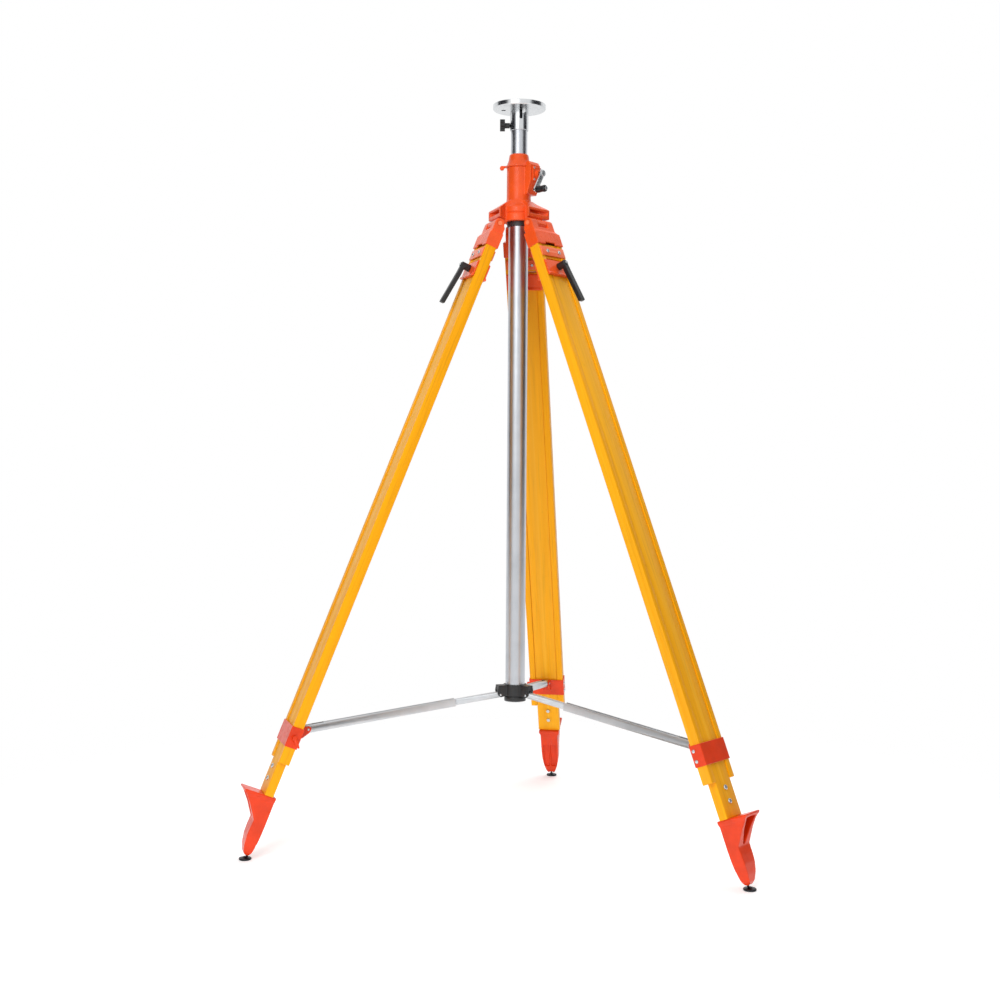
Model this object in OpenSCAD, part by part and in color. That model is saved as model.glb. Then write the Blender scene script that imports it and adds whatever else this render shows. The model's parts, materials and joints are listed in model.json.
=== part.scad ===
// Heavy elevating instrument tripod, millimetres, +Z up.
// Origin: on the floor, on the axis of the column. Legs stand at 90, 210 and 330 degrees.
// A leg's own frame has its origin on the hinge axis: +X out of the wide face, +Y across,
// +Z up along the leg.

/* [Stance] */
// Angle of a spread leg from the vertical, degrees
leg_angle = 22.27; // [20:0.01:24]
// Height of the leg hinges above the floor
hinge_z = 1630; // [1600:1:1650]
// Distance of the leg hinges from the column axis
hinge_r = 68; // [66:1:70]

/* [Legs] */
// Width over both rails of a leg
leg_w = 102; // [98:1:108]
// Thickness of the rails
rail_t = 28; // [26:1:30]
// Width of the sliding lower leg board
board_w = 66; // [62:1:70]
// Thickness of the sliding lower leg board
board_t = 23; // [21:1:25]
// Distance from the hinge to the lower end of the rails
rail_end = 1496; // [1480:1:1505]
// Distance from the hinge to the top of the foot's tread
tread_s = 1585; // [1580:1:1590]

/* [Column] */
// Outer diameter of the fixed column
column_d = 52; // [50:1:53]
// Outer diameter of the elevating inner tube
tube_d = 43.5; // [42:0.5:44]
// Height of the lower end of the column
column_z = 372; // [360:1:380]

/* [Head] */
// Diameter of the head casting's body
body_d = 64; // [62:1:66]
// Height of the top face of the instrument plate
plate_z = 1952; // [1949:1:1954]
// Diameter of the instrument plate
plate_d = 140; // [120:1:150]
// Direction in which the crank shaft points, degrees
crank_az = -28; // [-40:1:-20]
// Height of the crank shaft
crank_z = 1766; // [1764:1:1768]

/* [Hidden] */
$fn = 48;
LEG_NAMES = ["back", "left", "right"];
LEG_AZ = [90, 210, 330];
SINGLE_NODES = [
  "head_casting", "head_cap", "gearbox_cover", "guide_bushes", "hinge_pins", "outer_column",
  "column_end_ring", "spreader_hub", "inner_tube", "gear_rack", "drive_pinion", "crank_arm",
  "crank_grip", "head_sleeve", "instrument_plate", "fixing_screw", "sleeve_knob"
];
LEG_NODES = [
  "hinge_bracket", "leg_rails", "rail_strap", "leg_screws", "lower_collar", "collar_wing",
  "upper_clamp", "ratchet_lever", "leg_board", "foot_casting", "foot_bolts", "foot_pad",
  "outer_strut", "inner_strut"
];

casting_orange = "#F25C2A";
foot_orange = "#E03A12";
leg_yellow = "#FFB400";
bare_metal = "#C9CCCE";
bright_steel = "#B9BCC0";
black_plastic = "#1C1D1F";

slide_gap = 0.4;
turn_gap = 0.05;

column_r = column_d / 2;
column_bore_r = column_r - 3;
tube_r = tube_d / 2;
tube_bore_r = 16;
tube_flat = 17.2;
tube_low_z = 430;
tube_top_z = 1908;
flat_top_z = 1803;

body_r = body_d / 2;
body_top_z = 1786;
cap_top_z = 1821;
passage_r = 24;
socket_top_z = 1690;
casting_low_z = 1642;
flange_r = 46;
flange_top_z = 1680;
seam_z = 1663;

pin_r = 6;
barrel_r = 13;
lug_half = 19.8;
ear_start = 20.2;
hinge_half = 45;
plate_t = 13;
pinion_offset = 12;
pinion_teeth = 12;
gear_module = 2;
pinion_pitch_r = gear_module * pinion_teeth / 2;
tooth_pitch = gear_module * PI;
addendum = 1.5;
dedendum = 2.0;
rack_front = tube_flat;
rack_back = 20.2;
rack_low_z = 795;
rack_top_z = 1800;
shaft_r = 5;
gearbox_face = 48;
cover_t = 4;
arm_start = 66;
arm_t = 5;
crank_len = 55;
crank_lean = 31.7;

hub_pivot_r = 45;
hub_pivot_z = 384;
collar_pivot_r = 565;
collar_pivot_z = 322;
strut_angle = atan((hub_pivot_z - collar_pivot_z) / (collar_pivot_r - hub_pivot_r));
trunnion_r = 3;
blade_t = 8.6;
bar_in = 4.7;
bar_out = 7.7;
ear_in = 8.1;
ear_out = 13;

rail_in = board_w / 2 + slide_gap;
rail_half = (leg_w / 2 - rail_in) / 2;
rail_top = 40;
board_top = 112;
head_block = [66, 108];
strap_s = [76, 102];
clamp_s = [114.5, 158.8];
lever_s = 134;
stud_r = 4;
collar_s = [1399, 1452];
collar_wall = 2.5;
collar_screw_s = [1413, 1438];
wing_s = 1426;
strap_screw_t = 24;
bolt_s = [1514, 1547];
ankle_r = 718;
ankle_z = 24;
ball_r = 5;
pad_r = 16;
pad_centre_r = 722.7;

// Places its children in the upright plane of a leg: +X out from the column, +Y across, +Z up.
module in_plane(leg) {
  rotate([0, 0, LEG_AZ[leg]]) children();
}

// Places its children in a leg's own frame.
module in_leg(leg) {
  in_plane(leg) translate([hinge_r, 0, hinge_z]) rotate([0, -leg_angle, 0]) children();
}

// A box given by its lowest and highest corners.
module span(low, high) {
  translate(low) cube(high - low);
}

// An outline of [x, z] points drawn out across y, centred.
module plate_xz(points, width) {
  rotate([90, 0, 0]) linear_extrude(width, center = true) polygon(points);
}

// An outline of [y, z] points drawn out along x, from x0 to x1.
module plate_yz(points, x0, x1) {
  translate([x0, 0, 0]) rotate([90, 0, 90]) linear_extrude(x1 - x0) polygon(points);
}

// A round bar along x, from x0 to x1.
module rod_x(r, x0, x1) {
  translate([x0, 0, 0]) rotate([0, 90, 0]) cylinder(r = r, h = x1 - x0);
}

// A round bar along y, from y0 to y1.
module rod_y(r, y0, y1) {
  translate([0, y1, 0]) rotate([90, 0, 0]) cylinder(r = r, h = y1 - y0);
}

// A ring standing on z0.
module ring(outer, inner, z0, z1) {
  translate([0, 0, z0]) difference() {
    cylinder(r = outer, h = z1 - z0);
    translate([0, 0, -1]) cylinder(r = inner, h = z1 - z0 + 2);
  }
}

// A pan-head screw along x: its head sits on x0, its shank runs back to x1.
module screw_x(head_r, head_h, shank, x0, x1) {
  rotate([0, 90, 0]) rotate_extrude() polygon([
    [0, x1], [shank, x1], [shank, x0], [head_r, x0], [head_r, x0 + head_h * 0.6],
    [head_r * 0.6, x0 + head_h], [0, x0 + head_h]
  ]);
}

// ---------------------------------------------------------------- head

// Side outline of one hood, over a leg hinge.
hood_side = [[10, 1700], [33, 1696], [67, 1674], [69, 1672], [69, 1647.5], [60, 1645], [10, 1645]];
// Plan of one hood: narrow beside the flange, full width over the hinge.
hood_plan = [[10, -20], [46, -20], [66, -44], [70, -45], [70, 45], [66, 44], [46, 20], [10, 20]];
// Plan of the slot in a hood's outer face.
hood_slot = [[50, -19], [66, -37], [80, -37], [80, 37], [66, 37], [50, 19]];
// Side outline of the lug that holds a hinge pin.
lug = [
  [20, 1662], [50, 1657], [60, 1646], [68, 1643], [77, 1639.4], [81, 1630], [77, 1620.6],
  [68, 1617], [59, 1620], [40, 1638], [20, 1654]
];
// Side outline of the gearbox housing, along the crank shaft.
gearbox_side = [[20, 1713], [37, 1713], [48, 1746], [48, 1790], [42, 1799], [20, 1799]];

module shoulders() {
  for (leg = [0:2]) in_plane(leg) {
    difference() {
      intersection() {
        plate_xz(hood_side, 2 * hinge_half);
        translate([0, 0, 1640]) linear_extrude(70) polygon(hood_plan);
      }
      translate([0, 0, 1657.5]) linear_extrude(9.5) polygon(hood_slot);
    }
    plate_xz(lug, 2 * lug_half);
  }
}

module gearbox_housing() {
  rotate([0, 0, crank_az]) translate([0, 8.5, 0]) difference() {
    plate_xz(gearbox_side, 43);
    translate([0, -8.5, body_top_z]) cylinder(r = body_r + 3.2, h = 20);
  }
}

module head_casting() color(casting_orange) difference() {
  union() {
    rotate_extrude() polygon([
      [0, casting_low_z], [flange_r - 1, casting_low_z], [flange_r, casting_low_z + 1],
      [flange_r, seam_z - 2], [flange_r - 3, seam_z - 1.2], [flange_r - 3, seam_z + 1.2],
      [flange_r, seam_z + 2], [flange_r, flange_top_z - 1],
      [flange_r - 1, flange_top_z], [body_r + 5, flange_top_z + 8], [body_r + 1, flange_top_z + 17],
      [body_r, flange_top_z + 26],
      [body_r, body_top_z], [0, body_top_z]
    ]);
    shoulders();
    gearbox_housing();
  }
  translate([0, 0, casting_low_z - 40]) cylinder(r = column_r, h = socket_top_z - casting_low_z + 40);
  translate([0, 0, casting_low_z]) cylinder(r = passage_r, h = 200);
  translate([0, 0, 1600]) cylinder(r = 31, h = casting_low_z - 1600);
  rotate([0, 0, crank_az]) translate([0, pinion_offset, crank_z]) rod_x(15, 16.5, gearbox_face + 1);
  for (leg = [0:2]) in_plane(leg) translate([hinge_r, 0, hinge_z]) rod_y(pin_r, -60, 60);
}

module head_cap() color(casting_orange) difference() {
  union() {
    rotate_extrude() polygon([
      [0, body_top_z], [34, body_top_z], [34.6, body_top_z + 1], [34.6, body_top_z + 3],
      [33, body_top_z + 4.5], [31.5, body_top_z + 8], [27.5, body_top_z + 19],
      [25.5, cap_top_z - 3], [24.2, cap_top_z], [0, cap_top_z]
    ]);
    rotate([0, 0, 192]) {
      span([28, -5, body_top_z], [46, 5, body_top_z + 5]);
      translate([45, 0, body_top_z - 1]) rod_y(6, -5, 5);
    }
  }
  translate([0, 0, body_top_z - 1]) cylinder(r = 23, h = cap_top_z - body_top_z - 1);
  translate([0, 0, body_top_z]) cylinder(r = tube_r + 0.4, h = 40);
}

module gearbox_cover() color(casting_orange) rotate([0, 0, crank_az]) translate([0, pinion_offset, crank_z]) {
  difference() {
    union() {
      span([gearbox_face, -17.5, -19], [gearbox_face + cover_t, 17.5, 19]);
      rod_x(9, gearbox_face, gearbox_face + 12);
    }
    rod_x(shaft_r + turn_gap, gearbox_face - 1, gearbox_face + 20);
  }
}

module guide_bushes() color(black_plastic) {
  ring(passage_r, tube_r + turn_gap, 1700, 1725);
  ring(23, tube_r + turn_gap, body_top_z + 1, cap_top_z - 3);
  ring(30.5, column_r, casting_low_z - 12, casting_low_z);
}

module hinge_pins() color(casting_orange) for (leg = [0:2]) in_plane(leg) translate([hinge_r, 0, hinge_z])
  rod_y(pin_r, -hinge_half - 0.4, hinge_half + 0.4);

module outer_column() color(bare_metal) ring(column_r, column_bore_r, column_z, socket_top_z);

module column_end_ring() color(bare_metal) difference() {
  rotate_extrude() polygon([
    [0, 364], [27.5, 364], [29, 365.5], [29, 377.5], [27.5, 379], [0, 379]
  ]);
  translate([0, 0, column_z]) cylinder(r = column_r, h = 20);
  translate([0, 0, 360]) cylinder(r = 8, h = 20);
}

module inner_tube() color(bare_metal) difference() {
  ring(tube_r, tube_bore_r, tube_low_z, tube_top_z);
  rotate([0, 0, crank_az]) span([tube_flat, -30, tube_low_z - 1], [40, 30, flat_top_z]);
}

// Half thickness of a rack tooth at height h above the pitch line.
function rack_half(h) = 1.3 - h * tan(20);

module gear_rack() {
  count = floor((rack_top_z - rack_low_z) / tooth_pitch) - 1;
  start = crank_z + tooth_pitch / 2 - ceil((crank_z - rack_low_z) / tooth_pitch - 1) * tooth_pitch;
  tooth = [[-dedendum, -1], [addendum, -1], [addendum, 1], [-dedendum, 1]];
  teeth = [for (i = [0:count - 1]) for (corner = tooth)
    [corner[0], start + i * tooth_pitch + corner[1] * rack_half(corner[0])]];
  foot = [[-7, rack_low_z], [-dedendum, rack_low_z]];
  outline = concat(foot, teeth, [[-dedendum, rack_top_z], [-7, rack_top_z]]);
  color(bright_steel) rotate([0, 0, crank_az]) plate_yz(outline, rack_front, rack_back);
}

// Outline of the pinion: straight-sided stub teeth.
function pinion_outline() = [for (i = [0:pinion_teeth - 1]) for (p = [
    [pinion_pitch_r - dedendum, -9.5], [pinion_pitch_r, -6.4], [pinion_pitch_r + addendum, -2.6],
    [pinion_pitch_r + addendum, 2.6], [pinion_pitch_r, 6.4], [pinion_pitch_r - dedendum, 9.5]
  ]) let (a = 180 + i * 360 / pinion_teeth + p[1]) [p[0] * cos(a), p[0] * sin(a)]];

module drive_pinion() color(bright_steel) rotate([0, 0, crank_az]) translate([0, pinion_offset, crank_z]) {
  plate_yz(pinion_outline(), rack_front + 0.2, rack_back);
  rod_x(shaft_r, rack_back - 1, arm_start + arm_t);
  rod_x(9, 26, gearbox_face - 0.4);
}

// Places its children on the crank: x along the shaft, z from the shaft up along the arm.
module on_crank() {
  rotate([0, 0, crank_az]) translate([0, pinion_offset, crank_z]) rotate([-crank_lean, 0, 0]) children();
}

module crank_arm() color(bright_steel) on_crank() {
  difference() {
    union() {
      rod_x(10, arm_start, arm_start + arm_t);
      rod_x(8, arm_start + arm_t, arm_start + arm_t + 3);
      span([arm_start, -7.5, -crank_len], [arm_start + arm_t, 7.5, 0]);
      translate([0, 0, -crank_len]) rod_x(7.5, arm_start, arm_start + arm_t);
    }
    rod_x(shaft_r, arm_start - 1, arm_start + arm_t);
  }
  translate([0, 0, -crank_len]) {
    rod_x(trunnion_r, arm_start + arm_t, arm_start + 36);
    rod_x(5, arm_start + 36, arm_start + 38);
  }
}

module crank_grip() color(black_plastic) on_crank() translate([arm_start + arm_t + 0.4, 0, -crank_len])
  rotate([0, 90, 0]) rotate_extrude() polygon([
    [trunnion_r + turn_gap, 0], [7, 0], [9, 2], [9.2, 9], [8, 18], [9.2, 26], [8, 30],
    [trunnion_r + turn_gap, 30]
  ]);

// Outline of one of the sleeve's three hand openings.
sleeve_slot = [
  [-4, 1945], [-4, 1914], [-2.5, 1912], [2.5, 1912], [4, 1914], [4, 1925], [14, 1931], [14, 1945]
];

module head_sleeve() color(bare_metal) difference() {
  rotate_extrude() polygon([
    [0, 1884], [23.8, 1884], [24.5, 1884.7], [24.5, plate_z - plate_t], [0, plate_z - plate_t]
  ]);
  translate([0, 0, 1880]) cylinder(r = tube_r + turn_gap, h = tube_top_z + 0.4 - 1880);
  translate([0, 0, 1890]) cylinder(r = 19.5, h = 60);
  for (turn = [0:2]) rotate([0, 0, -70 + turn * 120]) plate_yz(sleeve_slot, 10, 30);
  rotate([0, 0, 190]) translate([0, 0, 1898]) rod_x(3 + turn_gap, 10, 30);
}

module instrument_plate() color(bare_metal) difference() {
  rotate_extrude() polygon([
    [8.02, plate_z - plate_t], [plate_d / 2 - 2, plate_z - plate_t], [plate_d / 2, plate_z - plate_t + 2],
    [plate_d / 2, plate_z - 0.8], [plate_d / 2 - 0.8, plate_z], [8.02, plate_z]
  ]);
  rotate([0, 0, 186]) translate([42, 0, plate_z - plate_t - 1]) cylinder(r = 6, h = 9);
}

module fixing_screw() color(bright_steel) rotate_extrude() polygon([
  [0, 1912], [15, 1912], [17, 1914], [17, 1927], [15.5, 1928.5], [10, 1928.5], [7.97, 1930.5],
  [7.97, plate_z - 2], [7.4, plate_z - 1.5], [7.4, plate_z], [7.94, plate_z],
  [7.94, plate_z + 15], [6.9, plate_z + 16], [0, plate_z + 16]
]);

// Outline of the star knob: a disc with five round lobes.
module star() {
  circle(r = 11);
  for (lobe = [0:4]) rotate(lobe * 72) translate([11.5, 0]) circle(r = 5);
}

module sleeve_knob() color(black_plastic) rotate([0, 0, 190]) translate([0, 0, 1898]) {
  rod_x(3, tube_r + 0.3, 30);
  rod_x(7, 25.2, 40);
  translate([38, 0, 0]) rotate([90, 0, 90]) linear_extrude(13) star();
}

// ---------------------------------------------------------------- spreader

// Side outline of the hub's lugs, around a strut's pivot.
hub_lug = [[24, 380], [32, 380], [44, 377], [51, 382], [53, 394], [51, 406], [24, 406]];

module spreader_hub() color(black_plastic) difference() {
  union() {
    ring(31, 20, 379.4, 410);
    for (leg = [0:2]) in_plane(leg) {
      span([24, -ear_out, 394], [51, ear_out, 409]);
      for (side = [-1, 1]) translate([0, side * (bar_in + ear_out) / 2, 0])
        plate_xz(hub_lug, ear_out - bar_in);
    }
  }
  translate([0, 0, 370]) cylinder(r = column_r + turn_gap, h = 60);
  for (leg = [0:2]) in_plane(leg) {
    span([33, -bar_in, 370], [60, bar_in, 394]);
    translate([hub_pivot_r, 0, hub_pivot_z]) rod_y(trunnion_r + turn_gap, -20, 20);
  }
}

// Places its children at the hub pivot of a leg's strut, +X along the strut.
module on_hub_pivot(leg) {
  in_plane(leg) translate([hub_pivot_r, 0, hub_pivot_z]) rotate([0, strut_angle, 0]) children();
}

// Places its children at the collar pivot of a leg's strut, +X along the strut towards the hub.
module on_collar_pivot(leg) {
  in_plane(leg) translate([collar_pivot_r, 0, collar_pivot_z])
    rotate([0, strut_angle, 0]) mirror([1, 0, 0]) children();
}

module inner_strut(leg) color(bare_metal) on_hub_pivot(leg) {
  span([0, -blade_t / 2, -8], [220, blade_t / 2, 8]);
  rod_y(8, -blade_t / 2, blade_t / 2);
  rod_y(trunnion_r, -ear_out, ear_out);
}

module outer_strut(leg) color(bare_metal) on_collar_pivot(leg) {
  for (side = [-1, 1]) translate([0, side * (bar_in + bar_out) / 2, 0]) {
    span([0, -(bar_out - bar_in) / 2, -10], [398, (bar_out - bar_in) / 2, 10]);
    rod_y(10, -(bar_out - bar_in) / 2, (bar_out - bar_in) / 2);
  }
  span([14, -bar_in - 1, -8], [44, bar_in + 1, 8]);
  rod_y(trunnion_r, -ear_out - 1.5, ear_out + 1.5);
}

// ---------------------------------------------------------------- legs

// Side outline of a bracket's two ears.
ear_side = [[-18, -8], [-18, -40], [18, -40], [18, -31], [13, -24], [13, 0], [0, 6], [-12, 0]];
// Side outline of the bracket's socket for the rails.
socket_side = [[-18, -26], [-18, -68], [18, -68], [18, -33], [15, -29]];

module hinge_bracket(leg) color(casting_orange) in_leg(leg) difference() {
  union() {
    rod_y(barrel_r, -hinge_half, hinge_half);
    plate_xz(ear_side, 2 * hinge_half);
    plate_xz(socket_side, leg_w + 4);
  }
  span([-barrel_r - 8, -ear_start, -barrel_r - 2], [barrel_r + 8, ear_start, barrel_r + 2]);
  span([-rail_t / 2, -leg_w / 2, -80], [rail_t / 2, leg_w / 2, -rail_top]);
  span([0, -20, -90], [30, 20, -62]);
  rod_y(pin_r + turn_gap, -60, 60);
}

module leg_rails(leg) color(leg_yellow) in_leg(leg) difference() {
  union() {
    for (side = [-1, 1]) translate([0, side * (rail_in + rail_half), 0])
      span([-rail_t / 2, -rail_half, -rail_end], [rail_t / 2, rail_half, -rail_top]);
    span([-board_t / 2, -rail_in - 0.01, -head_block[1]], [board_t / 2, rail_in + 0.01, -head_block[0]]);
  }
  for (side = [-1, 1]) translate([0, side * strap_screw_t, -89]) rod_x(2.5, -30, 30);
  for (s = collar_screw_s) translate([-7, 0, -s]) rod_y(2.5, -60, -rail_in);
}

module rail_strap(leg) color(casting_orange) in_leg(leg) difference() {
  for (side = [-1, 1]) translate([side * (rail_t / 2 + 1.75), 0, 0])
    span([-1.75, -48, -strap_s[1]], [1.75, 48, -strap_s[0]]);
  for (side = [-1, 1]) translate([0, side * strap_screw_t, -89]) rod_x(2.5, -30, 30);
}

module leg_screws(leg) color(bright_steel) in_leg(leg) {
  for (side = [-1, 1]) translate([0, side * strap_screw_t, -89]) {
    screw_x(5.2, 3.2, 2.5, rail_t / 2 + 3.5, -rail_t / 2 - 3.5);
    rod_x(4.5, -rail_t / 2 - 7, -rail_t / 2 - 3.5);
  }
  for (s = collar_screw_s) translate([-7, 0, -s]) rotate([0, 0, -90])
    screw_x(4.5, 3, 2.5, leg_w / 2 + collar_wall, rail_in + 2);
}

// Side outline of the collar's two ears, around the strut's pivot.
collar_ear = [
  [-15, -1402], [-15, -1436], [-30, -1424], [-42, -1406], [-44, -1398], [-42, -1392],
  [-35, -1390], [-28, -1394]
];
collar_half = rail_t / 2 + collar_wall;

module lower_collar(leg) color(foot_orange) in_leg(leg) difference() {
  union() {
    plate_xz([
      [-collar_half, -collar_s[1]], [collar_half, -collar_s[1]], [collar_half, -collar_s[0]],
      [-collar_half, -collar_s[0]]
    ], leg_w + 2 * collar_wall);
    for (side = [-1, 1]) translate([0, side * (ear_in + ear_out) / 2, 0])
      plate_xz(collar_ear, ear_out - ear_in);
  }
  span([-rail_t / 2, -leg_w / 2, -collar_s[1] - 1], [rail_t / 2, leg_w / 2, -collar_s[0] + 1]);
  translate([0, 0, -wing_s]) rod_y(3 + turn_gap, leg_w / 2 - 1, leg_w / 2 + 10);
  for (s = collar_screw_s) translate([-7, 0, -s]) rod_y(2.5, -70, -leg_w / 2 + 1);
  rotate([0, leg_angle, 0]) translate([collar_pivot_r - hinge_r, 0, collar_pivot_z - hinge_z])
    rod_y(trunnion_r + turn_gap, -30, 30);
}

module collar_wing(leg) color(foot_orange) in_leg(leg) translate([0, 0, -wing_s]) {
  rod_y(3, leg_w / 2 + 0.4, leg_w / 2 + 7);
  rod_y(7, leg_w / 2 + collar_wall + 0.4, leg_w / 2 + 12);
  hull() {
    rod_y(6, leg_w / 2 + 6, leg_w / 2 + 11);
    translate([-14, leg_w / 2 + 18, -17]) rod_y(2.5, 0, 3);
  }
}

// One plate of the upper clamp: a flat plate with a thick lower lip; its inner face is on x = 0.
module clamp_plate() {
  plate_xz([
    [0, -clamp_s[0]], [4, -clamp_s[0] - 2], [4, -clamp_s[1] + 8], [7, -clamp_s[1] + 4], [7, -clamp_s[1]],
    [0, -clamp_s[1]]
  ], leg_w - 3);
}

module upper_clamp(leg) color(casting_orange) in_leg(leg) {
  difference() {
    union() {
      translate([rail_t / 2 + 0.6, 0, 0]) clamp_plate();
      span([board_t / 2, -28, -clamp_s[1]], [rail_t / 2 + 0.7, 28, -clamp_s[0]]);
    }
    translate([0, 0, -lever_s]) rod_x(stud_r, 0, 40);
  }
  difference() {
    union() {
      mirror([1, 0, 0]) translate([rail_t / 2 + 0.6, 0, 0]) clamp_plate();
      span([-rail_t / 2 - 0.7, -28, -clamp_s[1]], [-board_t / 2, 28, -clamp_s[0]]);
    }
    translate([0, 0, -lever_s]) rod_x(stud_r, -40, 0);
  }
  translate([0, 0, -lever_s]) {
    rod_x(stud_r, -rail_t / 2 - 6, 38);
    rod_x(8, -rail_t / 2 - 11, -rail_t / 2 - 4.6);
  }
}

module ratchet_lever(leg) color(black_plastic) in_leg(leg) translate([0, 0, -lever_s]) difference() {
  union() {
    rod_x(9.5, rail_t / 2 + 5, 44);
    rod_x(6, 44, 47);
    hull() {
      rod_x(8, 34, 44);
      span([36, -8, -26], [47, 8, -20]);
    }
    hull() {
      span([36, -8, -26], [47, 8, -20]);
      span([49, -8, -114], [60, 8, -110]);
    }
  }
  rod_x(stud_r + turn_gap, 0, 38.5);
}

module leg_board(leg) color(leg_yellow) in_leg(leg) difference() {
  union() {
    span([-board_t / 2, -board_w / 2, -tread_s], [board_t / 2, board_w / 2, -board_top]);
    span([-9, -25, -tread_s - 45], [9, 25, -tread_s + 1]);
  }
  translate([0, 0, -lever_s]) rod_x(stud_r, -30, 30);
  for (s = bolt_s) translate([0, 0, -s]) rod_x(3.5, -30, 30);
}

module foot_bolts(leg) color(bright_steel) in_leg(leg) for (s = bolt_s) translate([0, 0, -s]) {
  screw_x(6.5, 4, 3.5, board_t / 2, -board_t / 2);
  rod_x(6, -board_t / 2 - 5, -board_t / 2);
}

// Side outline of the foot: tread, web, waist and rounded toe.
foot_side = [
  [-21, -1585], [63, -1585], [64, -1588], [61, -1592], [56, -1595], [36, -1618], [12, -1653], [13, -1672],
  [13, -1695], [9, -1720], [3, -1737], [-4, -1744], [-11, -1746], [-16, -1742], [-19, -1733], [-21, -1700],
  [-21.5, -1663]
];
// Half of the foot's outline seen along the wide face's normal.
foot_half = [
  [31, -1585], [32, -1588], [31, -1594], [27, -1600], [26.5, -1660], [25, -1688], [20.5, -1715], [14, -1735],
  [7, -1746], [0, -1749]
];
foot_outline = concat(foot_half, [for (i = [len(foot_half) - 2:-1:0]) [-foot_half[i][0], foot_half[i][1]]]);
// Outline of the hollow under the tread.
foot_hollow = [[-21, -1593], [21, -1593], [5, -1650], [-5, -1650]];

module foot_casting(leg) color(foot_orange) in_leg(leg) difference() {
  intersection() {
    plate_xz(foot_side, 80);
    plate_yz(foot_outline, -40, 90);
  }
  plate_yz(foot_hollow, 10, 90);
  span([-9, -25, -tread_s - 45], [9, 25, -tread_s + 1]);
  translate([-25, 0, -1740]) cylinder(r = 7, h = 140);
  rotate([0, leg_angle, 0]) translate([ankle_r - hinge_r, 0, ankle_z - hinge_z]) {
    sphere(r = ball_r + turn_gap);
    translate([0, 0, -30]) cylinder(r1 = 13, r2 = 3.8, h = 30);
  }
}

module foot_pad(leg) color(black_plastic) in_plane(leg) {
  translate([pad_centre_r, 0, 0]) rotate_extrude() polygon([
    [0, 0], [pad_r - 1, 0], [pad_r, 1], [pad_r, 4], [pad_r - 1, 5], [7, 6.5], [4.5, 8.5], [0, 8.5]
  ]);
  translate([ankle_r, 0, ankle_z]) sphere(r = ball_r);
  translate([ankle_r, 0, 6]) cylinder(r = 3, h = ankle_z - 6);
}

// ---------------------------------------------------------------- nodes

head_casting();
head_cap();
gearbox_cover();
guide_bushes();
hinge_pins();
outer_column();
column_end_ring();
spreader_hub();
inner_tube();
gear_rack();
drive_pinion();
crank_arm();
crank_grip();
head_sleeve();
instrument_plate();
fixing_screw();
sleeve_knob();
for (leg = [0:2]) {
  hinge_bracket(leg);
  leg_rails(leg);
  rail_strap(leg);
  leg_screws(leg);
  lower_collar(leg);
  collar_wing(leg);
  upper_clamp(leg);
  ratchet_lever(leg);
  leg_board(leg);
  foot_casting(leg);
  foot_bolts(leg);
  foot_pad(leg);
  outer_strut(leg);
  inner_strut(leg);
}
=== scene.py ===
"""Looks of a heavy elevating instrument tripod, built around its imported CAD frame.

Lengths in this script are millimetres until they reach Blender, which works in metres. A leg's own frame has its
origin on the leg's hinge, +X out of the wide face, +Y across the leg and +Z up along it.
"""

import json
import logging
import math
from dataclasses import dataclass, field
from enum import Enum
from typing import Callable, Optional, Union

import bmesh
import bpy
from mathutils import Matrix, Vector


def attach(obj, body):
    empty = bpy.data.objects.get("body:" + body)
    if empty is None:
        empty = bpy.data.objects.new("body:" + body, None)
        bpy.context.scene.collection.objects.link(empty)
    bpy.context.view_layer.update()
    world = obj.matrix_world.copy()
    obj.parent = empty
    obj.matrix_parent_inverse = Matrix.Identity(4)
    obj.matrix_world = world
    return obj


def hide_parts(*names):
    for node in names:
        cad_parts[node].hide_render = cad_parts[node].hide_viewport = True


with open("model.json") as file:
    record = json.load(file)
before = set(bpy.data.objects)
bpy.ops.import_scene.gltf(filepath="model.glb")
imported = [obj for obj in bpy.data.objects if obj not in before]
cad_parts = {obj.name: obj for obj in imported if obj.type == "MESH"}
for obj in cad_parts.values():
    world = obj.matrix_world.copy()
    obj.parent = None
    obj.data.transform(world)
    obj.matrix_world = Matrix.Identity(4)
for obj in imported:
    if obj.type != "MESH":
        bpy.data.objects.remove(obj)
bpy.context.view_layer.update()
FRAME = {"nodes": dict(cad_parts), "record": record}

log = logging.getLogger("tripod")

Colour = tuple[float, float, float, float]
Socket = bpy.types.NodeSocket
Value = Union[Socket, float, Colour, tuple[float, float, float]]

MM = 0.001
LEG_ANGLE = 22.27
HINGE_R = 68.0
HINGE_Z = 1630.0
HUB_PIVOT = (45.0, 384.0)
COLLAR_PIVOT = (565.0, 322.0)


class Leg(Enum):
    """The three legs, with the direction in which each stands, in degrees."""

    BACK = 90.0
    LEFT = 210.0
    RIGHT = 330.0

    @property
    def tag(self) -> str:
        """The leg's name as the frame's nodes and bodies end with it."""
        return self.name.lower()

    def upright(self) -> Matrix:
        """The frame of the leg's upright plane: +X away from the column."""
        return Matrix.Rotation(math.radians(self.value), 4, "Z")

    def local(self) -> Matrix:
        """The leg's own frame, on its hinge."""
        hinge = Matrix.Translation((HINGE_R * MM, 0.0, HINGE_Z * MM))
        return self.upright() @ hinge @ Matrix.Rotation(math.radians(-LEG_ANGLE), 4, "Y")

    def strut(self) -> Matrix:
        """The frame of the leg's strut: on the hub pivot, +X along the strut."""
        fall = math.atan2(HUB_PIVOT[1] - COLLAR_PIVOT[1], COLLAR_PIVOT[0] - HUB_PIVOT[0])
        pivot = Matrix.Translation((HUB_PIVOT[0] * MM, 0.0, HUB_PIVOT[1] * MM))
        return self.upright() @ pivot @ Matrix.Rotation(fall, 4, "Y")


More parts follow.
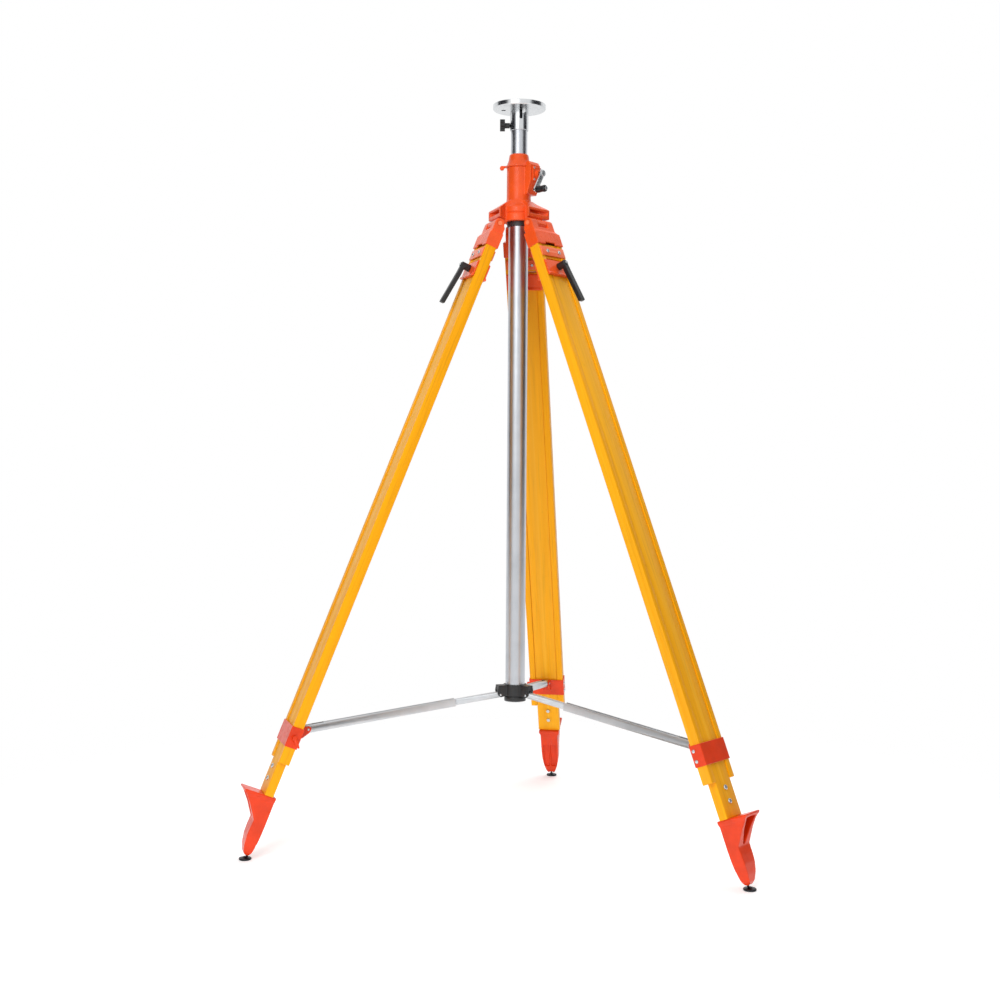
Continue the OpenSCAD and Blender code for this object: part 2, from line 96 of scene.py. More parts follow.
class Space(Enum):
    """The frames in which a piece's mesh can be kept."""

    WORLD = "world"
    UPRIGHT = "upright"
    LEG = "leg"
    STRUT = "strut"

    def matrix(self, leg: Optional[Leg]) -> Matrix:
        """The frame's matrix for a leg, or the world's."""
        if leg is None or self is Space.WORLD:
            return Matrix.Identity(4)
        return {Space.UPRIGHT: leg.upright, Space.LEG: leg.local, Space.STRUT: leg.strut}[self]()


# ---------------------------------------------------------------- colours and nodes


def linear(code: str) -> Colour:
    """Turns an sRGB hex colour to linear light.

    Args:
        code: Six hex digits after a hash.

    Returns:
        Red, green, blue and an alpha of one.
    """
    parts = [int(code[i : i + 2], 16) / 255 for i in (1, 3, 5)]
    return tuple(c / 12.92 if c <= 0.04045 else ((c + 0.055) / 1.055) ** 2.4 for c in parts) + (1.0,)


def add_node(
    tree: bpy.types.NodeTree,
    kind: str,
    settings: Optional[dict[str, object]] = None,
    inputs: Optional[dict[Union[str, int], Value]] = None,
) -> bpy.types.Node:
    """Adds a shader node.

    Args:
        tree: The tree that takes it.
        kind: Its type after "ShaderNode".
        settings: Its own settings by name.
        inputs: Its inputs by name or number: a value, or another node's output to link.

    Returns:
        The new node.
    """
    node = tree.nodes.new("ShaderNode" + kind)
    for name, value in (settings or {}).items():
        setattr(node, name, value)
    for name, value in (inputs or {}).items():
        if isinstance(value, bpy.types.NodeSocket):
            tree.links.new(value, node.inputs[name])
        else:
            node.inputs[name].default_value = value
    return node


def per_metre(size_mm: float) -> float:
    """The texture scale at which one pattern cell measures size_mm."""
    return 1.0 / (size_mm * MM)


def ramp(tree: bpy.types.NodeTree, factor: Socket, low: float, high: float, to: tuple[float, float]) -> Socket:
    """Maps a factor's range to another one, clamped.

    Args:
        tree: The tree that takes the node.
        factor: The value to map.
        low: The value that becomes to[0].
        high: The value that becomes to[1].
        to: The new range.

    Returns:
        The mapped value.
    """
    sizes = {"Value": factor, "From Min": low, "From Max": high, "To Min": to[0], "To Max": to[1]}
    return add_node(tree, "MapRange", {"clamp": True}, sizes).outputs["Result"]


def blend_colours(tree: bpy.types.NodeTree, factor: Socket, first: Value, second: Value) -> Socket:
    """Mixes two colours by a factor.

    Args:
        tree: The tree that takes the node.
        factor: 0 gives the first colour, 1 the second.
        first: A colour or a socket.
        second: A colour or a socket.

    Returns:
        The mixed colour.
    """
    node = add_node(tree, "Mix", {"data_type": "RGBA"}, {0: factor, 6: first, 7: second})
    return node.outputs[2]


@dataclass(frozen=True)
class Finish:
    """A finish: the real material, how its surface was made, and the record's slot it stands for."""

    title: str
    slot: str
    colour: str
    roughness: float

    def material(self) -> bpy.types.Material:
        """Builds the material once and returns it."""
        made = bpy.data.materials.get(self.title)
        if made is None:
            made = bpy.data.materials.new(self.title)
            made.use_nodes = True
            tree = made.node_tree
            tree.nodes.clear()
            shader = add_node(tree, "BsdfPrincipled", None, {"Roughness": self.roughness})
            add_node(tree, "OutputMaterial", None, {"Surface": shader.outputs[0]})
            self.dress(tree, shader)
        return made

    def dress(self, tree: bpy.types.NodeTree, shader: bpy.types.Node) -> None:
        """Adds the finish's own nodes; each finish says its own."""
        raise NotImplementedError

    def place(self, tree: bpy.types.NodeTree, stretch: tuple[float, float, float] = (1, 1, 1)) -> Socket:
        """The piece's own coordinates, squeezed along some axes so that a pattern runs along the others."""
        own = add_node(tree, "TexCoord").outputs["Object"]
        return add_node(tree, "Mapping", None, {"Vector": own, "Scale": stretch}).outputs[0]

    def noise(self, tree: bpy.types.NodeTree, where: Socket, size_mm: float, detail: float = 3.0) -> Socket:
        """A soft mottle whose cells measure size_mm."""
        sizes = {"Vector": where, "Scale": per_metre(size_mm), "Detail": detail, "Roughness": 0.6}
        return add_node(tree, "TexNoise", None, sizes).outputs["Fac"]

    def relief(
        self, tree: bpy.types.NodeTree, shader: bpy.types.Node, height: Socket, depth_mm: float, share: float
    ) -> None:
        """Bumps the surface by a height map of the given depth."""
        sizes = {"Height": height, "Distance": depth_mm * MM, "Strength": share}
        bump = add_node(tree, "Bump", None, sizes)
        tree.links.new(bump.outputs[0], shader.inputs["Normal"])


@dataclass(frozen=True)
class StovedEnamel(Finish):
    """Sand-cast aluminium under stoved gloss enamel.

    The eye sees a wet, slightly rippled colour that thins to a paler shade on the rims, with painted shade that
    darkens it in corners, and small dull spots where hands and the ground rub it.
    """

    rim: str = "#FF9A6C"
    # Painted shade for corners and creases; the random mottle also uses this darker colour.
    corner: str = "#9C2A10"
    peel_mm: float = 4.0
    peel_depth_mm: float = 0.35
    mottle_mm: float = 45.0

    def dress(self, tree: bpy.types.NodeTree, shader: bpy.types.Node) -> None:
        """Colour thins on rims and takes painted shade in corners; the gloss ripples and has dull spots."""
        where = self.place(tree)
        edge = add_node(tree, "NewGeometry").outputs["Pointiness"]
        mottle = self.noise(tree, where, self.mottle_mm)
        cloudy = ramp(tree, mottle, 0.35, 0.75, (0.0, 0.3))
        base = blend_colours(tree, cloudy, linear(self.colour), linear(self.corner))
        # Painted shade: hollow corners and creases, found by their low pointiness, take the darker colour.
        base = blend_colours(tree, ramp(tree, edge, 0.47, 0.38, (0.0, 0.7)), base, linear(self.corner))
        base = blend_colours(tree, ramp(tree, edge, 0.535, 0.62, (0.0, 0.55)), base, linear(self.rim))
        tree.links.new(base, shader.inputs["Base Color"])
        rub = self.noise(tree, where, self.mottle_mm / 4, 6.0)
        tree.links.new(
            ramp(tree, rub, 0.45, 0.75, (self.roughness, self.roughness + 0.22)), shader.inputs["Roughness"]
        )
        shader.inputs["Specular IOR Level"].default_value = 0.25
        shader.inputs["Coat Weight"].default_value = 0.2
        shader.inputs["Coat Roughness"].default_value = 0.1
        self.relief(tree, shader, self.noise(tree, where, self.peel_mm, 1.5), self.peel_depth_mm, 0.35)


@dataclass(frozen=True)
class LacqueredRail(Finish):
    """Beech rails under brushed yellow lacquer.

    The eye sees a warm yellow with faint long streaks of the grain under it, a satin gloss, and amber where the
    lacquer lies thicker.
    """

    streak: str = "#EA9A00"
    rim: str = "#FFCC4A"
    scuff: str = "#B87C12"
    grain_mm: float = 5.0
    grain_length: float = 0.03
    scuff_mm: float = 26.0

    def dress(self, tree: bpy.types.NodeTree, shader: bpy.types.Node) -> None:
        """Long streaks run along the rail in colour, gloss and relief; scuffs dull it in patches."""
        along = self.place(tree, (1.0, 1.0, self.grain_length))
        free = self.place(tree)
        grain = self.noise(tree, along, self.grain_mm, 5.0)
        broad = self.noise(tree, along, self.grain_mm * 5, 2.0)
        streaky = ramp(tree, broad, 0.35, 0.7, (0.0, 0.75))
        base = blend_colours(tree, streaky, linear(self.colour), linear(self.streak))
        base = blend_colours(tree, ramp(tree, grain, 0.52, 0.7, (0.0, 0.4)), base, linear(self.scuff))
        patch = self.noise(tree, free, self.scuff_mm, 7.0)
        base = blend_colours(tree, ramp(tree, patch, 0.66, 0.76, (0.0, 0.35)), base, linear(self.scuff))
        edge = add_node(tree, "NewGeometry").outputs["Pointiness"]
        base = blend_colours(tree, ramp(tree, edge, 0.54, 0.66, (0.0, 0.5)), base, linear(self.rim))
        tree.links.new(base, shader.inputs["Base Color"])
        dull = ramp(tree, patch, 0.4, 0.75, (self.roughness, self.roughness + 0.2))
        tree.links.new(dull, shader.inputs["Roughness"])
        shader.inputs["Specular IOR Level"].default_value = 0.14
        shader.inputs["Coat Weight"].default_value = 0.07
        shader.inputs["Coat Roughness"].default_value = 0.2
        self.relief(tree, shader, grain, 0.25, 0.3)


class Lay(Enum):
    """Which way a metal's tool marks run, as the squeeze of the pattern along X, Y and Z."""

    ALONG_Z = (1.0, 1.0, 0.01)
    ALONG_X = (0.01, 1.0, 1.0)
    ROUND_Z = (0.0, 0.0, 0.0)
    NONE = (1.0, 1.0, 1.0)


@dataclass(frozen=True)
class WorkedMetal(Finish):
    """A bare metal with the marks of the tool that made it.

    The eye sees fine lines that stretch each highlight across them, and slow changes of gloss from handling.
    """

    tarnish: str = "#9EA3A8"
    lay: Lay = Lay.NONE
    line_mm: float = 1.2
    line_depth_mm: float = 0.02
    mottle_mm: float = 60.0

    def lines(self, tree: bpy.types.NodeTree) -> Socket:
        """The height of the tool marks: rings round Z on turned faces, else streaks."""
        if self.lay is Lay.ROUND_Z:
            where = add_node(tree, "TexCoord").outputs["Object"]
            # One ring is a whole turn of the wave, and Blender's ring wave has 20 radians per unit of scale.
            rings = per_metre(self.line_mm) * math.tau / 20
            sizes = {"Vector": where, "Scale": rings, "Distortion": 0.4, "Detail": 1.0}
            wave = add_node(tree, "TexWave", {"wave_type": "RINGS", "rings_direction": "Z"}, sizes)
            return wave.outputs["Fac"]
        return self.noise(tree, self.place(tree, self.lay.value), self.line_mm, 2.0)

    def dress(self, tree: bpy.types.NodeTree, shader: bpy.types.Node) -> None:
        """Tool marks in the relief and gloss, a slow tarnish in the colour."""
        mottle = self.noise(tree, self.place(tree), self.mottle_mm)
        lines = self.lines(tree)
        tint = blend_colours(
            tree, ramp(tree, mottle, 0.4, 0.75, (0.0, 0.45)), linear(self.colour), linear(self.tarnish)
        )
        tree.links.new(tint, shader.inputs["Base Color"])
        shader.inputs["Metallic"].default_value = 1.0
        gloss = ramp(tree, lines, 0.35, 0.7, (self.roughness, self.roughness + 0.08))
        tree.links.new(gloss, shader.inputs["Roughness"])
        self.relief(tree, shader, lines, self.line_depth_mm, 0.5)


@dataclass(frozen=True)
class MouldedNylon(Finish):
    """Glass-filled nylon, moulded in a spark-eroded tool.

    The eye sees a near-black plastic with a fine even grain, greyer on rubbed edges, and soft broad highlights.
    """

    rubbed: str = "#3A3B3D"
    # The real grain is about 0.3 mm; it is drawn coarser so that it shows.
    grain_mm: float = 0.9

    def dress(self, tree: bpy.types.NodeTree, shader: bpy.types.Node) -> None:
        """A fine grain in the relief and a grey bloom on the edges."""
        where = self.place(tree)
        edge = add_node(tree, "NewGeometry").outputs["Pointiness"]
        bloom = self.noise(tree, where, 18.0, 4.0)
        faded = ramp(tree, bloom, 0.45, 0.8, (0.0, 0.3))
        base = blend_colours(tree, faded, linear(self.colour), linear(self.rubbed))
        base = blend_colours(tree, ramp(tree, edge, 0.54, 0.66, (0.0, 0.6)), base, linear(self.rubbed))
        tree.links.new(base, shader.inputs["Base Color"])
        tree.links.new(
            ramp(tree, bloom, 0.3, 0.7, (self.roughness, self.roughness + 0.15)), shader.inputs["Roughness"]
        )
        shader.inputs["IOR"].default_value = 1.53
        self.relief(tree, shader, self.noise(tree, where, self.grain_mm, 1.0), 0.12, 0.4)


@dataclass(frozen=True)
class MattPaper(Finish):
    """Matt card or cloth of the studio, with no pattern that shows."""

    def dress(self, tree: bpy.types.NodeTree, shader: bpy.types.Node) -> None:
        """One plain colour and hardly any gloss."""
        shader.inputs["Base Color"].default_value = linear(self.colour)
        shader.inputs["Specular IOR Level"].default_value = 0.1


@dataclass(frozen=True)
class GlowingCard(MattPaper):
    """A white card that also gives light, as a product table lit from below does.

    As the floor it takes soft shadows and thins out at its rim, so that it runs into the white wall with no edge.
    """

    glow: float = 0.0
    solid_m: float = 0.95
    clear_m: float = 1.7

    def dress(self, tree: bpy.types.NodeTree, shader: bpy.types.Node) -> None:
        """The card glows, and it thins out to nothing between two distances from its middle."""
        super().dress(tree, shader)
        shader.inputs["Emission Color"].default_value = linear(self.colour)
        shader.inputs["Emission Strength"].default_value = self.glow
        middle = add_node(tree, "TexCoord").outputs["Object"]
        away = add_node(tree, "VectorMath", {"operation": "LENGTH"}, {0: middle}).outputs["Value"]
        thin = ramp(tree, away, self.solid_m, self.clear_m, (0.0, 1.0))
        clear = add_node(tree, "BsdfTransparent").outputs[0]
        both = add_node(tree, "MixShader", None, {0: thin, 1: shader.outputs[0], 2: clear})
        finish = next(n for n in tree.nodes if n.type == "OUTPUT_MATERIAL")
        tree.links.new(both.outputs[0], finish.inputs["Surface"])


HEAD_ENAMEL = StovedEnamel("cast_aluminium_stoved_orange_enamel", "orange_casting", "#F55A22", 0.26)
# Its last colour is the painted shade of corners and creases, also used for the mottle.
FOOT_ENAMEL = StovedEnamel(
    "cast_aluminium_stoved_red_orange_enamel", "red_orange_casting", "#E83E0E", 0.28, "#FF7F4A", "#8C2008"
)
YELLOW_LACQUER = LacqueredRail("beech_brushed_yellow_lacquer", "yellow_leg", "#FBAC00", 0.36)
COLUMN_ALUMINIUM = WorkedMetal(
    "aluminium_tube_drawn_and_polished", "column_aluminium", "#C6C9CE", 0.3, "#A9AEB4", Lay.ALONG_Z, 1.6, 0.012
)
TURNED_ALUMINIUM = WorkedMetal(
    "aluminium_turned_on_a_lathe", "turned_aluminium", "#D8DADC", 0.24, "#BABEC2", Lay.ROUND_Z, 1.3, 0.015
)
STRUT_ALUMINIUM = WorkedMetal(
    "aluminium_bar_extruded_and_anodised", "strut_aluminium", "#D3D6D9", 0.42, "#B4B9BE", Lay.ALONG_X, 1.1, 0.03
)
ZINC_STEEL = WorkedMetal("steel_zinc_plated", "bright_steel", "#D5D8DA", 0.22, "#9EA6AD", Lay.NONE, 0.8, 0.015, 9.0)
BLACK_STEEL = WorkedMetal(
    "steel_blackened_in_oil", "blackened_steel", "#3A3B3E", 0.34, "#1D1E20", Lay.NONE, 0.8, 0.03, 12.0
)
BLACK_NYLON = MouldedNylon("nylon_moulded_black", "black_plastic", "#131416", 0.36)
FLOOR_CARD = GlowingCard("floor_matt_white_card", "", "#FDFDFD", 0.85, 0.3)
FLAG_CLOTH = MattPaper("flag_matt_grey_cloth", "", "#2C2C32", 0.9)
LIT_CARD = GlowingCard("reflector_lit_white_card", "", "#FFFFFF", 0.85, 2.0, 5.0, 6.0)

FINISHES = {f.slot: f for f in (
    HEAD_ENAMEL, FOOT_ENAMEL, YELLOW_LACQUER, COLUMN_ALUMINIUM, TURNED_ALUMINIUM, STRUT_ALUMINIUM, ZINC_STEEL,
    BLACK_STEEL, BLACK_NYLON,
)}
SLOT_OF_NODE = {row["node"]: row["material_slot"] for row in FRAME["record"]["subparts"]}
BODY_OF_NODE = {n: body for body, nodes in FRAME["record"]["behaviour"]["bodies"].items() for n in nodes}


# ---------------------------------------------------------------- mesh work


def new_piece(name: str, mesh: bpy.types.Mesh, place: Matrix, body: str, finish: Finish) -> bpy.types.Object:
    """Adds a mesh to the scene as a piece of the tripod.

    Args:
        name: The piece's name.
        mesh: Its mesh, in the frame that place gives.
        place: The piece's frame.
        body: The CAD body it moves with.
        finish: What it is made of.

    Returns:
        The new object.
    """
    piece = bpy.data.objects.new(name, mesh)
    bpy.context.scene.collection.objects.link(piece)
    piece.matrix_world = place
    if not mesh.materials:
        mesh.materials.append(finish.material())
    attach(piece, body)
    return piece


def node_mesh(node: str, place: Matrix) -> bpy.types.Mesh:
    """A copy of a CAD node's mesh, turned into another frame, its split corners joined.

    Args:
        node: The CAD node.
        place: The frame to bring it into.

    Returns:
        The new mesh.
    """
    mesh = FRAME["nodes"][node].data.copy()
    mesh.materials.clear()
    mesh.transform(place.inverted())
    work = bmesh.new()
    work.from_mesh(mesh)
    bmesh.ops.remove_doubles(work, verts=work.verts, dist=0.002 * MM)
    work.to_mesh(mesh)
    work.free()
    return mesh


def bake_modifiers(mesh: bpy.types.Mesh, modifiers: list[tuple[str, dict[str, object]]]) -> bpy.types.Mesh:
    """Runs a mesh through modifiers and returns the result as a new mesh.

    Args:
        mesh: The mesh to work on, which is used up.
        modifiers: Each modifier's type and settings, in order.

    Returns:
        The finished mesh.
    """
    bench = bpy.data.objects.new("bench", mesh)
    bpy.context.scene.collection.objects.link(bench)
    for kind, settings in modifiers:
        modifier = bench.modifiers.new(kind.lower(), kind)
        for name, value in settings.items():
            setattr(modifier, name, value)
    graph = bpy.context.evaluated_depsgraph_get()
    done = bpy.data.meshes.new_from_object(bench.evaluated_get(graph))
    bpy.data.objects.remove(bench)
    bpy.data.meshes.remove(mesh)
    return done


def carve(mesh: bpy.types.Mesh, tools: list[bpy.types.Mesh]) -> bpy.types.Mesh:
    """Cuts pockets into a mesh.

    Args:
        mesh: The mesh to work on, which is used up.
        tools: Closed meshes of the pockets.

    Returns:
        The mesh with the pockets in it.
    """
    for tool in tools:
        cutter = bpy.data.objects.new("cutter", tool)
        bpy.context.scene.collection.objects.link(cutter)
        mesh = bake_modifiers(mesh, [("BOOLEAN", {"object": cutter, "operation": "DIFFERENCE", "solver": "EXACT"})])
        bpy.data.objects.remove(cutter)
    return mesh


def smooth(mesh: bpy.types.Mesh, angle: float) -> None:
    """Shades a mesh smooth, with edges sharper than angle degrees kept crisp."""
    mesh.shade_smooth()
    mesh.set_sharp_from_angle(angle=math.radians(angle))


def cast(mesh: bpy.types.Mesh, grit_mm: float, rounds: int) -> bpy.types.Mesh:
    """Rounds every edge and corner of a mesh as a casting or a moulding has them.

    Args:
        mesh: The mesh to work on, which is used up.
        grit_mm: The size of the faces it is rebuilt from.
        rounds: How many times its corners are softened.

    Returns:
        The rounded mesh.
    """
    done = bake_modifiers(
        mesh,
        [
            ("REMESH", {"mode": "VOXEL", "voxel_size": grit_mm * MM, "adaptivity": 0.0}),
            ("SMOOTH", {"factor": 0.5, "iterations": rounds}),
            ("DECIMATE", {"ratio": 0.5}),
        ],
    )
    done.shade_smooth()
    return done


def eased(mesh: bpy.types.Mesh, width_mm: float, longest_mm: float = 9.0) -> bpy.types.Mesh:
    """Takes the sharpness off the long edges of a flat-sided mesh.

    Args:
        mesh: The mesh to work on.
        width_mm: The width taken off each edge.
        longest_mm: Edges shorter than this stay as they are, such as those of small bores.

    Returns:
        The same mesh, with rounded edges.
    """
    work = bmesh.new()
    work.from_mesh(mesh)
    bmesh.ops.dissolve_limit(work, angle_limit=math.radians(1), verts=work.verts, edges=work.edges)
    edges = [
        e
        for e in work.edges
        if len(e.link_faces) == 2 and e.calc_length() > longest_mm * MM and e.calc_face_angle() > math.radians(30)
    ]
    bmesh.ops.bevel(
        work, geom=edges, offset=width_mm * MM, offset_type="OFFSET", segments=3, profile=0.5, affect="EDGES",
        clamp_overlap=True,
    )
    bmesh.ops.triangulate(work, faces=[f for f in work.faces if len(f.verts) > 4])
    work.to_mesh(mesh)
    work.free()
    smooth(mesh, 40)
    return mesh


def on_circle(radius: float, angle: float, height: float) -> tuple[float, float, float]:
    """A point round Z, in metres, from its radius and height in mm."""
    return (radius * MM * math.cos(angle), radius * MM * math.sin(angle), height * MM)


def lathe(profile: list[tuple[float, float]], sides: int = 32) -> bpy.types.Mesh:
    """Turns a profile round Z.

    Args:
        profile: Points of radius and height, in mm, from the axis back to the axis.
        sides: How many steps make a turn.

    Returns:
        The turned mesh.
    """
    work = bmesh.new()
    rings = []
    for radius, height in profile:
        if radius == 0:
            rings.append([work.verts.new((0, 0, height * MM))])
            continue
        turns = [i * math.tau / sides for i in range(sides)]
        rings.append([work.verts.new(on_circle(radius, a, height)) for a in turns])
    for low, high in zip(rings, rings[1:]):
        for i in range(sides):
            j = (i + 1) % sides
            corners = [low[i % len(low)], low[j % len(low)], high[j % len(high)], high[i % len(high)]]
            loop = list(dict.fromkeys(corners))
            if len(loop) > 2:
                work.faces.new(loop)
    bmesh.ops.recalc_face_normals(work, faces=work.faces)
    mesh = bpy.data.meshes.new("turned")
    work.to_mesh(mesh)
    work.free()
    smooth(mesh, 35)
    return mesh


def block(low: tuple[float, float, float], high: tuple[float, float, float]) -> bpy.types.Mesh:
    """A box between two corners, in mm."""
    work = bmesh.new()
    size = Vector(high) - Vector(low)
    middle = Matrix.Translation((Vector(low) + size / 2) * MM)
    bmesh.ops.create_cube(work, size=1.0, matrix=middle @ Matrix.Diagonal((*(size * MM), 1.0)))
    mesh = bpy.data.meshes.new("block")
    work.to_mesh(mesh)
    work.free()
    return mesh


def socket_screw(head_r: float, head_h: float, key: float) -> bpy.types.Mesh:
    """A button-head screw's head with a hexagon socket, standing on z = 0.

    Args:
        head_r: The head's radius.
        head_h: The head's height.
        key: The radius of the hexagon's corners.

    Returns:
        The mesh.
    """
    sides = 24
    work = bmesh.new()
    turns = [i * math.tau / sides for i in range(sides)]

    def round_ring(radius: float, height: float) -> list[bmesh.types.BMVert]:
        """A ring of corners at one radius and height."""
        return [work.verts.new(on_circle(radius, a, height)) for a in turns]

    def hex_ring(height: float) -> list[bmesh.types.BMVert]:
        """A ring of corners that follows the hexagon."""
        ring = []
        for a in turns:
            off = (a % (math.tau / 6)) - math.tau / 12
            radius = key * math.cos(math.tau / 12) / math.cos(off)
            ring.append(work.verts.new(on_circle(radius, a, height)))
        return ring

    rings = [round_ring(head_r, 0), round_ring(head_r, head_h * 0.35)]
    for step in (0.3, 0.6, 0.85):
        angle = step * math.tau / 4
        rings.append(round_ring(head_r * (0.55 + 0.45 * math.cos(angle)), head_h * (0.35 + 0.65 * math.sin(angle))))
    rings += [hex_ring(head_h * 0.97), hex_ring(head_h * 0.25)]
    for low, high in zip(rings, rings[1:]):
        for i in range(sides):
            j = (i + 1) % sides
            work.faces.new((low[i], low[j], high[j], high[i]))
    work.faces.new(rings[-1])
    work.faces.new(list(reversed(rings[0])))
    bmesh.ops.recalc_face_normals(work, faces=work.faces)
    mesh = bpy.data.meshes.new("socket_screw")
    work.to_mesh(mesh)
    work.free()
    smooth(mesh, 30)
    return mesh


def gather(parts: list[tuple[bpy.types.Mesh, Matrix]]) -> bpy.types.Mesh:
    """Joins meshes into one.

    Args:
        parts: Each mesh and where it goes.

    Returns:
        One mesh with all of them.
    """
    work = bmesh.new()
    for mesh, place in parts:
        copy = mesh.copy()
        copy.transform(place)
        work.from_mesh(copy)
        bpy.data.meshes.remove(copy)
    done = bpy.data.meshes.new("gathered")
    work.to_mesh(done)
    work.free()
    smooth(done, 32)
    return done


def facing(direction: tuple[float, float, float], at: tuple[float, float, float]) -> Matrix:
    """A frame at a point, in mm, whose +Z points in a direction."""
    turn = Vector(direction).to_track_quat("Z", "Y").to_matrix().to_4x4()
    return Matrix.Translation(Vector(at) * MM) @ turn


# ---------------------------------------------------------------- sub-assemblies


@dataclass
class Assembly:
    """What every sub-assembly can do: reshape CAD nodes and dress them."""

    pieces: list[str] = field(default_factory=list)

    def restyle(
        self,
        node: str,
        leg: Optional[Leg],
        space: Space,
        shape: Callable[[bpy.types.Mesh], bpy.types.Mesh],
        settle: bool = False,
    ) -> None:
        """Stands a reworked copy of a CAD node in for it; the three legs share one mesh.

        Args:
            node: The CAD node's name, without the leg's.
            leg: The leg, or None for a node that is there once.
            space: The frame that the mesh is shaped in.
            shape: Turns the node's mesh into the finished one.
            settle: Whether each leg gets a copy of its own in the world's frame, which keeps its box tight.
        """
        full = node if leg is None else f"{node}_{leg.tag}"
        place = space.matrix(leg)
        store = f"{node}_mesh"
        mesh = bpy.data.meshes.get(store)
        if mesh is None:
            mesh = shape(node_mesh(full, place))
            mesh.name = store
        if settle:
            mesh = mesh.copy()
            mesh.transform(place)
            place = Matrix.Identity(4)
        finish = FINISHES[SLOT_OF_NODE[full]]
        piece = new_piece(f"{full}_skin", mesh, place, BODY_OF_NODE[full], finish)
        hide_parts(full)
        self.pieces.append(piece.name)

    def dress_node(self, node: str, finish: Optional[Finish] = None) -> None:
        """Gives a CAD node that stays as it is the finish of its slot, or another one."""
        item = FRAME["nodes"][node]
        item.data.materials.clear()
        item.data.materials.append((finish or FINISHES[SLOT_OF_NODE[node]]).material())
        self.pieces.append(node)

    def add(self, name: str, mesh: bpy.types.Mesh, place: Matrix, body: str, finish: Finish) -> None:
        """Adds a piece that the CAD doesn't have."""
        new_piece(name, mesh, place, body, finish)
        self.pieces.append(name)


@dataclass
class Head(Assembly):
    """The casting, its cap, the gearbox and the crank."""

    casting_grit: float = 1.3
    crank_az: float = -28.0
    cover_centre: tuple[float, float, float] = (52.0, 12.0, 1766.0)
    cover_screw_at: tuple[float, float] = (13.5, 15.0)

    def build(self) -> None:
        """Builds and dresses every piece of the head."""
        self.restyle("head_casting", None, Space.WORLD, lambda m: cast(m, self.casting_grit, 5))
        self.restyle("head_cap", None, Space.WORLD, lambda m: cast(m, self.casting_grit, 4))
        self.restyle("gearbox_cover", None, Space.WORLD, lambda m: cast(m, 0.9, 3))
        self.restyle("crank_grip", None, Space.WORLD, lambda m: cast(m, 0.8, 3))
        self.restyle("crank_arm", None, Space.WORLD, lambda m: cast(m, 0.7, 2))
        for node in ("guide_bushes", "hinge_pins", "gear_rack", "drive_pinion"):
            self.dress_node(node)
        self.cover_screws()

    def cover_screws(self) -> None:
        """The four screws that hold the gearbox's cover."""
        turn = Matrix.Rotation(math.radians(self.crank_az), 4, "Z")
        x, y, z = self.cover_centre
        head = socket_screw(2.6, 1.8, 1.3)
        across, up = self.cover_screw_at
        parts = [
            (head, facing((1, 0, 0), (x, y + side * across, z + row * up))) for side in (-1, 1) for row in (-1, 1)
        ]
        self.add("gearbox_cover_screws", gather(parts), turn, "frame", ZINC_STEEL)


@dataclass
class Column(Assembly):
    """The fixed column, the elevating tube and the instrument head on top."""

    sleeve_bore_r: float = 20.5
    bare_edge_z: float = 366.0

    def build(self) -> None:
        """Builds and dresses every piece of the column."""
        for node in ("outer_column", "inner_tube", "instrument_plate", "fixing_screw"):
            self.dress_node(node)
        self.restyle("column_end_ring", None, Space.WORLD, self.end_ring)
        self.restyle("head_sleeve", None, Space.WORLD, self.sleeve)
        self.restyle("sleeve_knob", None, Space.WORLD, lambda m: cast(m, 0.7, 4))

    def end_ring(self, mesh: bpy.types.Mesh) -> bpy.types.Mesh:
        """The column's end ring: black like the hub above, with its lowest edge left bare."""
        mesh.materials.append(BLACK_NYLON.material())
        mesh.materials.append(TURNED_ALUMINIUM.material())
        for face in mesh.polygons:
            if face.center.z < self.bare_edge_z * MM:
                face.material_index = 1
        smooth(mesh, 30)
        return mesh

    def sleeve(self, mesh: bpy.types.Mesh) -> bpy.types.Mesh:
        """The slotted sleeve: turned outside, with painted shade in its bore, whose faces take the dark blackened
        steel.
        """
        mesh.materials.append(TURNED_ALUMINIUM.material())
        mesh.materials.append(BLACK_STEEL.material())
        for face in mesh.polygons:
            centre = face.center
            # Painted shade: faces inside the bore are given blackened steel, a dark colour that stands in for the
            # shade there.
            if math.hypot(centre.x, centre.y) < self.sleeve_bore_r * MM:
                face.material_index = 1
        smooth(mesh, 30)
        return mesh


@dataclass
class Spreader(Assembly):
    """The hub that slides on the column and the three telescoping struts."""

    stop_low: tuple[float, float, float] = (480.0, -4.5, 8.0)
    stop_high: tuple[float, float, float] = (510.0, 4.5, 10.6)

    def build(self) -> None:
        """Builds and dresses every piece of the spreader."""
        self.restyle("spreader_hub", None, Space.WORLD, lambda m: cast(m, 1.0, 4))
        stop = eased(block(self.stop_low, self.stop_high), 0.8, 1.0)
        for leg in Leg:
            self.restyle("outer_strut", leg, Space.STRUT, lambda m: eased(m, 0.7))
            self.restyle("inner_strut", leg, Space.STRUT, lambda m: eased(m, 0.7))
            self.add(f"strut_stop_{leg.tag}", stop, leg.strut(), f"outer_{leg.tag}", BLACK_NYLON)


